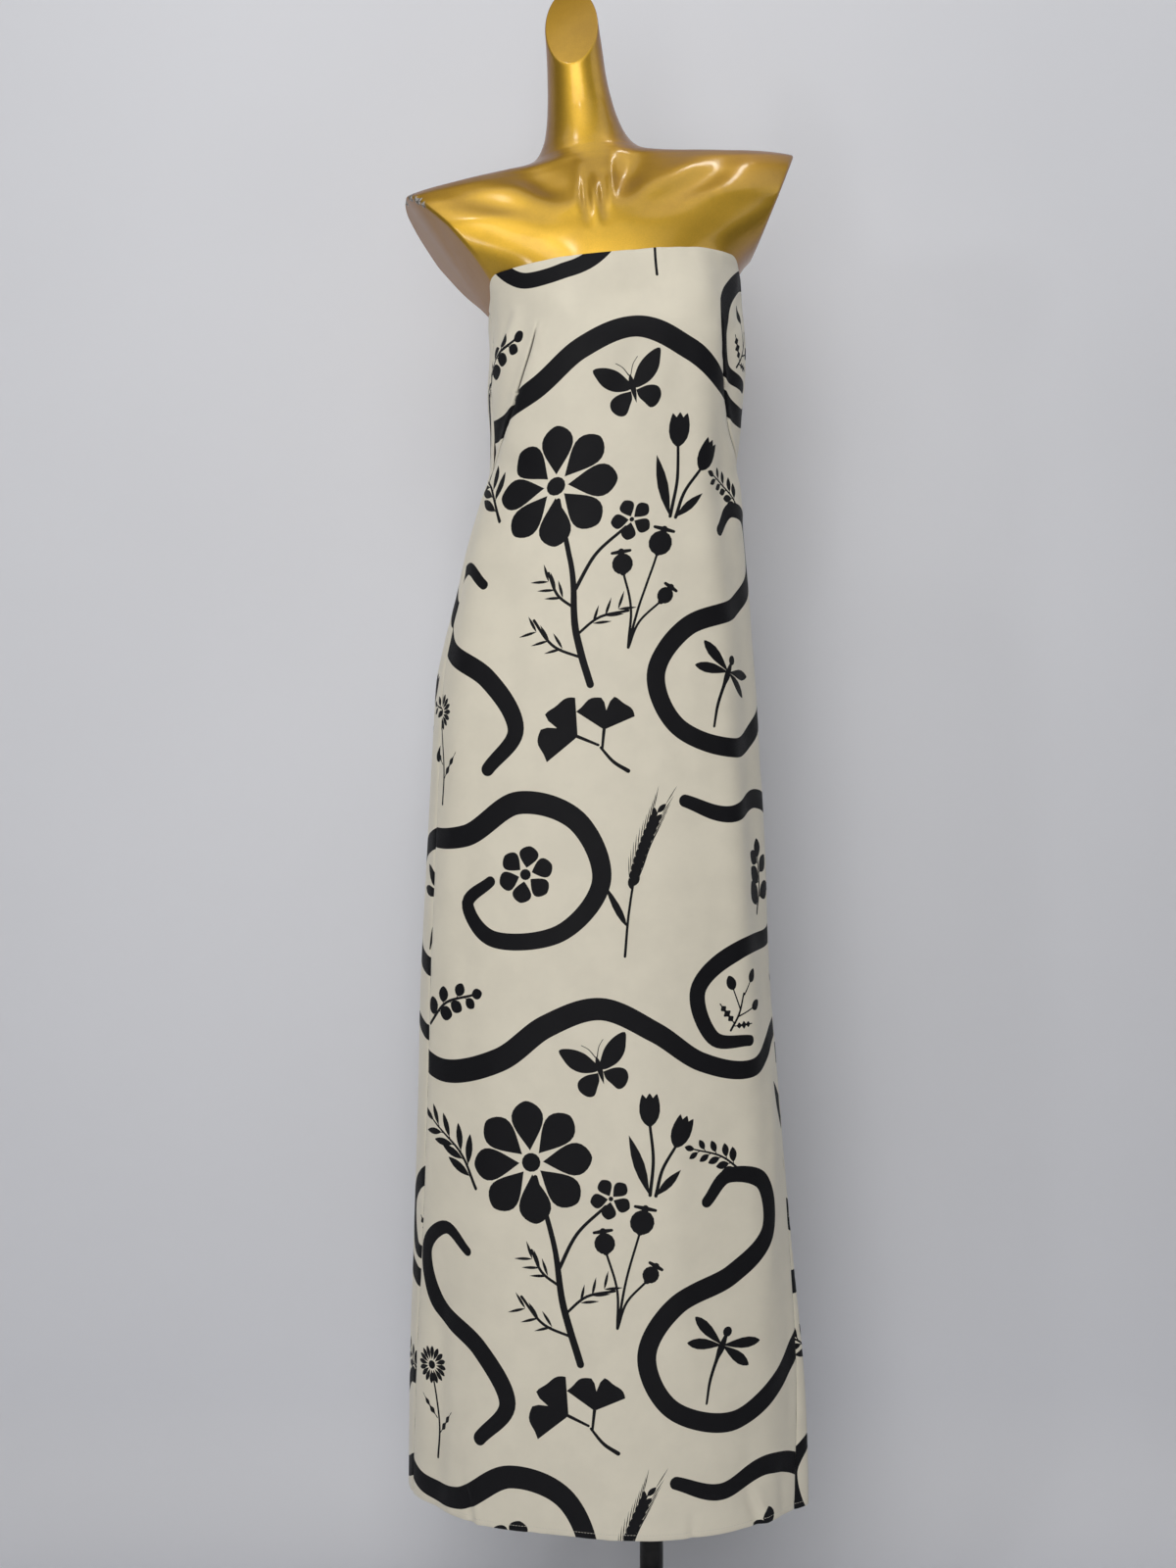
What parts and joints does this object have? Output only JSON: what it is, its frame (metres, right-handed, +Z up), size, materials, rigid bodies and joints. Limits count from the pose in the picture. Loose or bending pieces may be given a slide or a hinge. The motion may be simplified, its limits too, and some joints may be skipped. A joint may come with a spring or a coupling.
{
  "type": "maxi dress on a dress form",
  "caption": "Strapless ankle-length dress with darts at the bust and a zip in its back seam, filled out by a limbless display form that stands on a pole and a round base.",
  "frame": {"origin": "centre of the base's underside, under the pole", "axes": "+Z up along the pole, the dress's front faces -Y, its wearer's left is +X"},
  "size_m": [0.4345, 0.34, 1.8166],
  "materials": {
    "gold_paint": "gloss",
    "dress_cloth": "satin",
    "black_metal": "satin",
    "zip_tape": "matte",
    "zip_metal": "satin"
  },
  "bodies": {
    "dress_on_form": {"base_plate": "black_metal", "pole": "black_metal", "pole_flange": "black_metal", "dress_form": "gold_paint", "dress_front": "dress_cloth", "dress_back_left": "dress_cloth", "dress_back_right": "dress_cloth", "zip_tape": "zip_tape", "zip_slider": "zip_metal"},
    "pull_tab": {"zip_pull": "zip_metal"}
  },
  "joints": [
    {"name": "pull_tab_hinge", "type": "hinge", "parent": "dress_on_form", "child": "pull_tab", "pos_m": [-0.06178, 0.10428, 1.43891], "axis": [0.9794, 0.1532, 0.1314], "range_deg": [-5, 110]}
  ]
}
